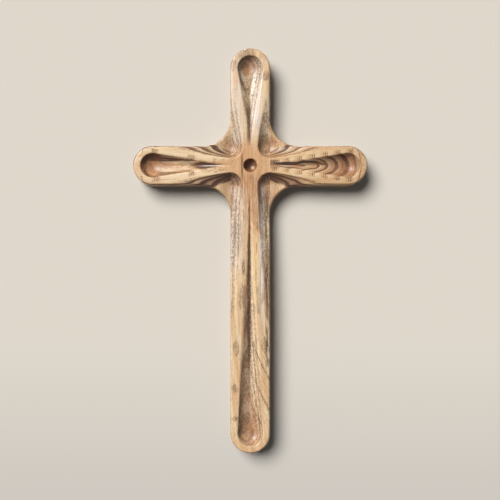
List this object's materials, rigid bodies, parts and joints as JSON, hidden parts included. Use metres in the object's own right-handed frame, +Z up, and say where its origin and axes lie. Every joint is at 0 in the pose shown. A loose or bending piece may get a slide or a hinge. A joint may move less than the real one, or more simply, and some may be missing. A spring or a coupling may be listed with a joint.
{
  "type": "wall cross",
  "caption": "Plain carved wooden wall cross with round ends, a flute in each arm and scalloped inner corners, hung by a recessed keyhole plate.",
  "frame": {"origin": "where the shank of the wall screw sits at the top of the keyhole, on the plane of the cross's back", "axes": "+X to the right as the cross hangs and is seen, +Y into the wall, +Z up"},
  "size_m": [0.162, 0.018, 0.28],
  "materials": {
    "upright_wood": "brushed and oiled, satin, vertical grain",
    "arm_wood": "brushed and oiled, satin, horizontal grain",
    "dowel_wood": "bare",
    "plate_steel": "zinc plated",
    "screw_steel": "zinc plated"
  },
  "bodies": {
    "root": {"upright": "upright_wood", "left_arm": "arm_wood", "right_arm": "arm_wood", "upper_left_dowel": "dowel_wood", "lower_left_dowel": "dowel_wood", "upper_right_dowel": "dowel_wood", "lower_right_dowel": "dowel_wood", "keyhole_plate": "plate_steel", "hanger_screws": "screw_steel"}
  },
  "joints": []
}
